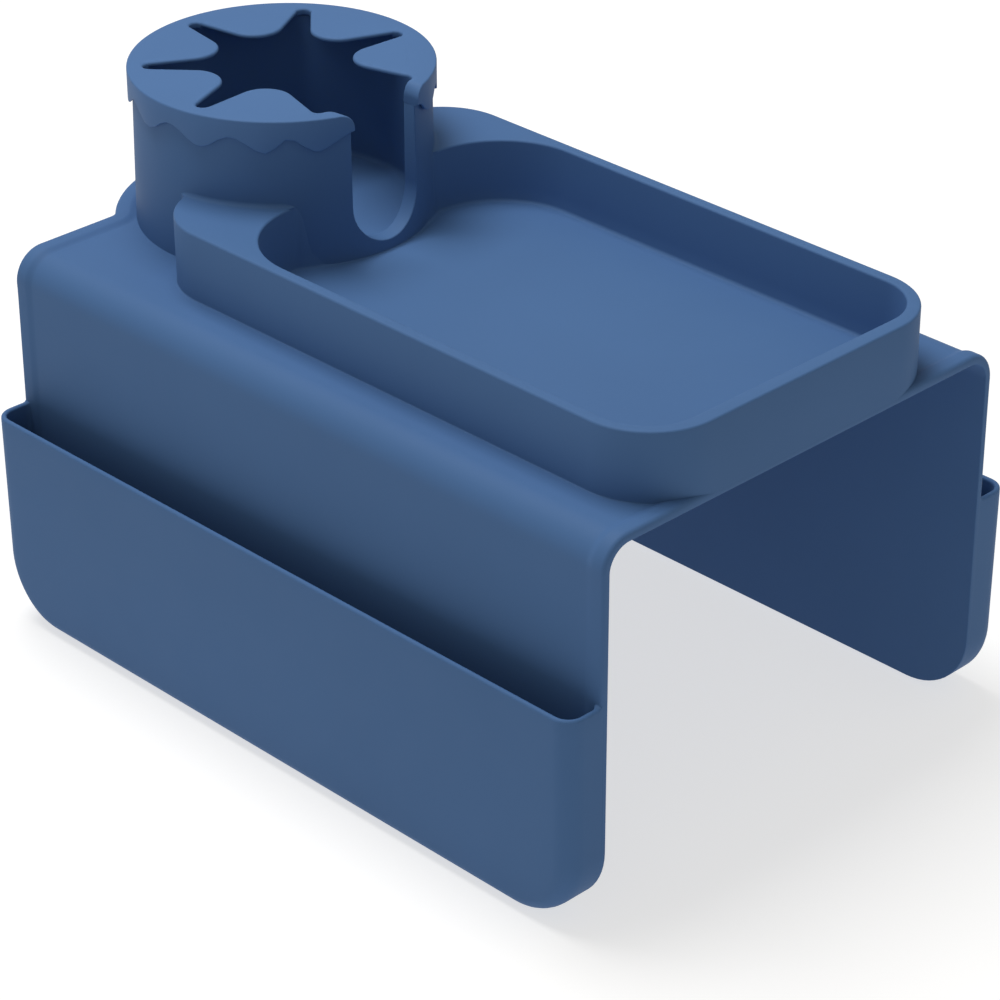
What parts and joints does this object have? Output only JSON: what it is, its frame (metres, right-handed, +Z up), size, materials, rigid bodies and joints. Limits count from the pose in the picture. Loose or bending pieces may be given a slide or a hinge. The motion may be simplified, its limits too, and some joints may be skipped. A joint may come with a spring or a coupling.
{
  "type": "sofa arm tray",
  "caption": "Flexible saddle for a sofa arm with a raised tray, a slotted cup holder under a star lid, and a pocket on each hanging flap.",
  "frame": {"origin": "middle of the deck's underside, the face that rests on the sofa arm", "axes": "+X across the arm to the flap whose pocket has dividers, -Y along the arm to the front edge by the tray, +Y to the cup holder, +Z up"},
  "size_m": [0.211, 0.3025, 0.1914],
  "materials": {
    "silicone": "matte slate-blue moulded silicone"
  },
  "bodies": {
    "saddle": {"deck": "silicone", "tray": "silicone", "cup_holder": "silicone"},
    "left_side": {"left_flap": "silicone", "left_pocket": "silicone"},
    "right_side": {"right_flap": "silicone", "right_pocket": "silicone", "front_divider": "silicone", "rear_divider": "silicone"},
    "star_lid": {"lid_ring": "silicone"},
    "first_petal": {"petal_1": "silicone"},
    "second_petal": {"petal_2": "silicone"},
    "third_petal": {"petal_3": "silicone"},
    "fourth_petal": {"petal_4": "silicone"},
    "fifth_petal": {"petal_5": "silicone"},
    "sixth_petal": {"petal_6": "silicone"}
  },
  "joints": [
    {"name": "left_flap_bend", "type": "hinge", "parent": "saddle", "child": "left_side", "pos_m": [-0.08847, 0, -0.00003], "axis": [0, 1, 0], "range_deg": [-8, 90], "stiffness_Nm_per_rad": 0.02},
    {"name": "right_flap_bend", "type": "hinge", "parent": "saddle", "child": "right_side", "pos_m": [0.08847, 0, -0.00003], "axis": [0, -1, 0], "range_deg": [-8, 90], "stiffness_Nm_per_rad": 0.02},
    {"name": "lid_lift", "type": "slide", "parent": "saddle", "child": "star_lid", "axis": [0, 0, 1], "range_m": [0, 0.04]},
    {"name": "first_petal_bend", "type": "hinge", "parent": "star_lid", "child": "first_petal", "pos_m": [0.03245, 0.07662, 0.056], "axis": [-0.6235, -0.7818, 0], "range_deg": [-10, 60], "stiffness_Nm_per_rad": 0.012},
    {"name": "second_petal_bend", "type": "hinge", "parent": "star_lid", "child": "second_petal", "pos_m": [0.04046, 0.11174, 0.056], "axis": [0.2225, -0.9749, 0], "range_deg": [-10, 60], "stiffness_Nm_per_rad": 0.012},
    {"name": "third_petal_bend", "type": "hinge", "parent": "star_lid", "child": "third_petal", "pos_m": [0.01801, 0.13989, 0.056], "axis": [0.901, -0.4339, 0], "range_deg": [-10, 60], "stiffness_Nm_per_rad": 0.012},
    {"name": "fourth_petal_bend", "type": "hinge", "parent": "star_lid", "child": "fourth_petal", "pos_m": [-0.01801, 0.13989, 0.056], "axis": [0.901, 0.4339, 0], "range_deg": [-10, 60], "stiffness_Nm_per_rad": 0.012},
    {"name": "fifth_petal_bend", "type": "hinge", "parent": "star_lid", "child": "fifth_petal", "pos_m": [-0.04046, 0.11174, 0.056], "axis": [0.2225, 0.9749, 0], "range_deg": [-10, 60], "stiffness_Nm_per_rad": 0.012},
    {"name": "sixth_petal_bend", "type": "hinge", "parent": "star_lid", "child": "sixth_petal", "pos_m": [-0.03245, 0.07662, 0.056], "axis": [-0.6235, 0.7818, 0], "range_deg": [-10, 60], "stiffness_Nm_per_rad": 0.012}
  ]
}
